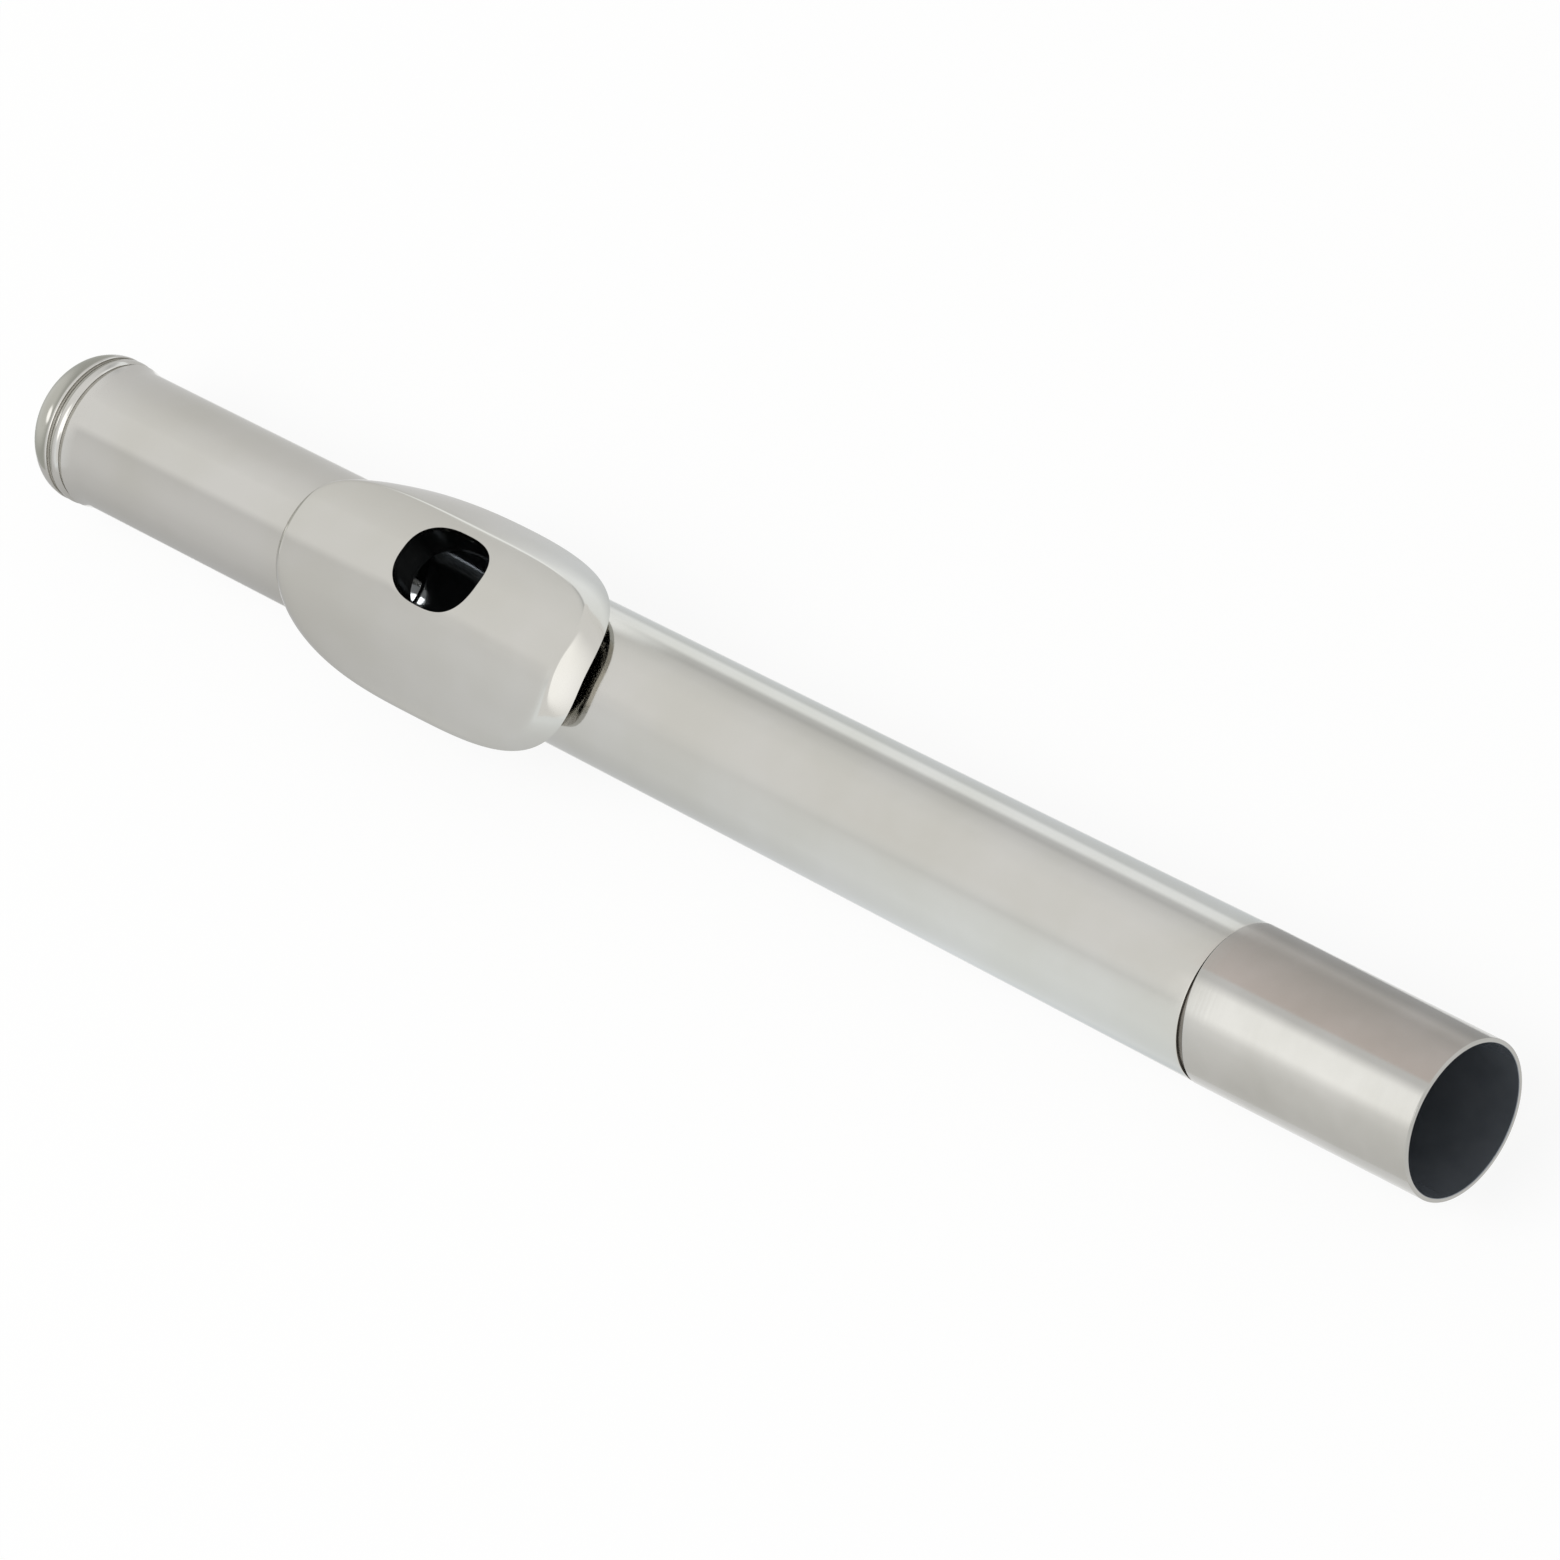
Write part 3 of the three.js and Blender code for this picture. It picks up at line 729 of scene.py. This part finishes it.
# flat oval cards with feathered edges, in metres, lit only on the side that they face: for the plate's open
# end and back crease, the crown's dome and bead, and the light that comes back out of the mouth hole
flatCards = [
    {"name": "endCard", "at": (0.019, -0.041, 0.08), "faces": (-0.02, -0.041, 0.08), "size": (0.18, 0.18),
     "feather": 0.5, "colour": "#FFFFFF", "strength": 1.48},
    {"name": "creaseCard", "at": (-0.072, 0.056, 0.025), "faces": (-0.038, 0.006, 0.022),
     "size": (0.046, 0.05), "feather": 0.5, "colour": "#FAFDFF", "strength": 1.3},
    {"name": "crownFlag", "at": (-0.126, 0.001, 0.011), "faces": (-0.1, 0.001, 0.011),
     "size": (0.068, 0.068), "feather": 0.3, "colour": "#EFF1EA", "strength": 0.55},
    {"name": "domeCard", "at": (-0.1246, -0.0027, 0.02), "faces": (-0.1, -0.0027, 0.02),
     "size": (0.04, 0.034), "feather": 0.6, "colour": "#F4F5F0", "strength": 0.82},
    {"name": "domeSpark", "at": (-0.124, -0.0082, 0.0265), "faces": (-0.1, -0.0082, 0.0265),
     "size": (0.011, 0.008), "feather": 0.5, "colour": "#FFFFFF", "strength": 1.7},
    {"name": "beadCard", "at": (0.166, -0.207, 0.311), "faces": (-0.103, 0, 0.012), "size": (0.22, 0.22),
     "feather": 0.5, "colour": "#FFFFFF", "strength": 2.2},
    {"name": "beadGleam", "at": (-0.0845, -0.0554, 0.1009), "faces": (-0.1095, -0.0464, 0.0869),
     "size": (0.13, 0.1), "feather": 0.5, "colour": "#FFFFFF", "strength": 1.9},
    {"name": "beadShade", "at": (-0.0855, 0.0013, 0.026), "faces": (-0.104, 0.0013, 0.026),
     "size": (0.022, 0.012), "feather": 0.1, "colour": "#FFFFFF", "strength": 1.0},
    {"name": "mouthCard", "at": (-0.0245, 0.0016, 0.0465), "faces": (-0.05, 0.0016, 0.0465),
     "size": (0.0092, 0.013), "feather": 0.1, "colour": "#FFFFFF", "strength": 18.0},
]


def seenDirectly(tree):  # 1 for camera, mirror and glass rays, 0 for the light that falls on things
    path = addNode(tree, "ShaderNodeLightPath")
    either = addNode(tree, "ShaderNodeMath", {"operation": "MAXIMUM"},
                     {0: path.outputs["Is Camera Ray"], 1: path.outputs["Is Glossy Ray"]})
    return addNode(tree, "ShaderNodeMath", {"operation": "MAXIMUM"},
                   {0: either.outputs[0], 1: path.outputs["Is Transmission Ray"]}).outputs[0]


def makeFloor():
    bpy.ops.object.select_all(action="DESELECT")
    bpy.ops.mesh.primitive_plane_add(size=studio["floor"]["size"], location=(0, 0, -studio["floor"]["drop"]))
    floor = bpy.context.object
    floor.name = "studio_floor"
    material, tree, output = newMaterial("paintedFloor")
    lit = addNode(tree, "ShaderNodeBsdfDiffuse", {"Color": hexColour(studio["floor"]["colour"])})
    glow = addNode(tree, "ShaderNodeEmission", {"Color": (1, 1, 1, 1), "Strength": 1.0})
    share = addNode(tree, "ShaderNodeMath",
                    {"operation": "MULTIPLY", 1: 1 - studio["floor"]["shadowShare"]},
                    {0: seenDirectly(tree)})
    mixed = addNode(tree, "ShaderNodeMixShader",
                    links={0: share.outputs[0], 1: lit.outputs["BSDF"], 2: glow.outputs["Emission"]})
    tree.links.new(mixed.outputs["Shader"], output.inputs["Surface"])
    floor.data.materials.append(material)


def mirrored(along, across, card):  # where a ray of the view lands on the card after glancing off the tube
    axis = Vector((along * mm, *rowPoint(0, 0, 0).yz))
    radius = tubeRadius(along - datum["mouthX"])
    share = max(-cardMesh["widest"], min(cardMesh["widest"], across / radius))
    eye = Vector(view["at"])
    towardsEye = (eye - axis) * Vector((0, 1, 1))
    towardsEye.normalize()
    upward = Vector((0, towardsEye.z, -towardsEye.y))
    normal = towardsEye * math.sqrt(1 - share ** 2) + upward * share
    spot = axis + normal * radius * mm
    ray = (spot - eye).normalized().reflect(normal)
    if "wall" in card:
        reach = (card["wall"] - spot.x) / ray.x
    else:
        out, start = ray.yz, (spot - axis).yz
        half = out.dot(start)
        short = start.dot(start) - card["distance"] ** 2
        reach = (math.sqrt(half ** 2 - out.dot(out) * short) - half) / out.dot(out)
    landing = spot + ray * reach
    if landing.z < cardMesh["lowest"]:  # the floor is in the way
        landing = spot + ray * (cardMesh["lowest"] - spot.z) / ray.z
    return landing


def showOnlyInMetal(board):
    board.visible_camera = False
    board.visible_diffuse = False
    board.visible_shadow = False


def stepped(values):  # with steps between each value and the next
    pairs = zip(values, values[1:])
    return [v for a, b in pairs for v in spread(a, b, cardMesh["stepsPerTone"])[:-1]] + [values[-1]]


def tonesAt(card, along):
    stations = card["stations"]
    for (a, before), (b, after) in zip(stations, stations[1:]):
        if along < b:
            share = max(0, (along - a) / (b - a))
            return [p + (q - p) * share for p, q in zip(before, after)]
    return stations[-1][1]


def makeCurvedCard(card):
    rows = stepped(card["across"])
    columns = spread(*card["along"], cardMesh["columns"])
    tones = [stepped(tonesAt(card, along)) for along in columns]
    first, last = card["stations"][0][0], card["stations"][-1][0]
    white, tint = Vector(hexColour("#FFFFFF")), Vector(hexColour(card["tint"]))
    bpy.ops.object.select_all(action="DESELECT")
    bpy.ops.mesh.primitive_grid_add(x_subdivisions=len(columns) - 1, y_subdivisions=len(rows) - 1, size=1)
    board = bpy.context.object
    board.name = card["name"]
    glows = board.data.attributes.new("glow", "FLOAT_COLOR", "POINT")
    for v in board.data.vertices:
        c = round((v.co.x + 0.5) * (len(columns) - 1))
        r = round((v.co.y + 0.5) * (len(rows) - 1))
        share = max(0, min(1, (columns[c] - first) / (last - first))) if last > first else 1
        glows.data[v.index].color = white.lerp(tint, share * r / (len(rows) - 1)) * tones[c][r]
        v.co = mirrored(columns[c], rows[r], card)
    material, tree, output = newMaterial(card["name"])
    glow = addNode(tree, "ShaderNodeAttribute", {"attribute_name": "glow"})
    lit = addNode(tree, "ShaderNodeEmission", {"Strength": 1.0}, {"Color": glow.outputs["Color"]})
    shown = lit.outputs["Emission"]
    if "wall" in card:
        board.data.update()
        if sum(face.normal.x for face in board.data.polygons) < 0:
            board.data.flip_normals()
        behind = addNode(tree, "ShaderNodeNewGeometry").outputs["Backfacing"]
        clear = addNode(tree, "ShaderNodeBsdfTransparent").outputs["BSDF"]
        shown = addNode(tree, "ShaderNodeMixShader",
                        links={0: behind, 1: shown, 2: clear}).outputs["Shader"]
    tree.links.new(shown, output.inputs["Surface"])
    board.data.materials.append(material)
    showOnlyInMetal(board)


def makeFlatCard(card):
    bpy.ops.object.select_all(action="DESELECT")
    turn = (Vector(card["faces"]) - Vector(card["at"])).to_track_quat("Z", "Y").to_euler()
    bpy.ops.mesh.primitive_circle_add(vertices=cardMesh["ovalSides"], radius=1, fill_type="NGON",
                                      location=card["at"], rotation=turn)
    board = bpy.context.object
    board.name = card["name"]
    board.scale = (card["size"][0] / 2, card["size"][1] / 2, 1)
    material, tree, output = newMaterial(card["name"])
    place = addNode(tree, "ShaderNodeTexCoord").outputs["Object"]
    fromMiddle = addNode(tree, "ShaderNodeVectorMath", {"operation": "LENGTH"}, {0: place})
    faded = addNode(tree, "ShaderNodeMapRange",
                    {"interpolation_type": "SMOOTHSTEP", "From Min": 1 - card["feather"],
                     "From Max": cardMesh["ovalEdge"]}, {"Value": fromMiddle.outputs["Value"]})
    behind = addNode(tree, "ShaderNodeNewGeometry").outputs["Backfacing"]
    unseen = addNode(tree, "ShaderNodeMath", {"operation": "MAXIMUM"},
                     {0: behind, 1: faded.outputs["Result"]})
    glow = addNode(tree, "ShaderNodeEmission",
                   {"Color": hexColour(card["colour"]), "Strength": card["strength"]})
    clear = addNode(tree, "ShaderNodeBsdfTransparent")
    mixed = addNode(tree, "ShaderNodeMixShader",
                    links={0: unseen.outputs[0], 1: glow.outputs["Emission"], 2: clear.outputs["BSDF"]})
    tree.links.new(mixed.outputs["Shader"], output.inputs["Surface"])
    board.data.materials.append(material)
    showOnlyInMetal(board)


def makeRoom():
    world = bpy.data.worlds.new("whiteRoom")
    world.use_nodes = True
    tree = world.node_tree
    tree.nodes.clear()
    strength = addNode(tree, "ShaderNodeMapRange",
                       {"To Min": studio["room"]["fill"], "To Max": studio["room"]["seen"]},
                       {"Value": seenDirectly(tree)})
    sky = addNode(tree, "ShaderNodeBackground", {"Color": (1, 1, 1, 1)},
                  {"Strength": strength.outputs["Result"]})
    output = addNode(tree, "ShaderNodeOutputWorld")
    tree.links.new(sky.outputs["Background"], output.inputs["Surface"])
    bpy.context.scene.world = world


def makeKey():
    bpy.ops.object.light_add(type="AREA", location=studio["key"]["at"])
    lamp = bpy.context.object
    lamp.name = "keyLamp"
    aim = Vector((0, 0, 0)) - Vector(studio["key"]["at"])
    lamp.rotation_euler = aim.to_track_quat("-Z", "Y").to_euler()
    lamp.data.size = studio["key"]["size"]
    lamp.data.energy = studio["key"]["watts"]
    lamp.visible_glossy = False


makeFloor()
for card in curvedCards:
    makeCurvedCard(card)
for card in flatCards:
    makeFlatCard(card)
makeRoom()
makeKey()

bpy.ops.object.camera_add(location=view["at"], rotation=[math.radians(a) for a in view["turn"]])
camera = bpy.context.object
camera.name = "photoCamera"
camera.data.sensor_width = view["sensor"]
camera.data.lens = view["lens"]
camera.data.clip_end = view["clipEnd"]
bpy.context.scene.camera = camera
bpy.context.scene.view_settings.view_transform = "Standard"
print("stage and camera set")
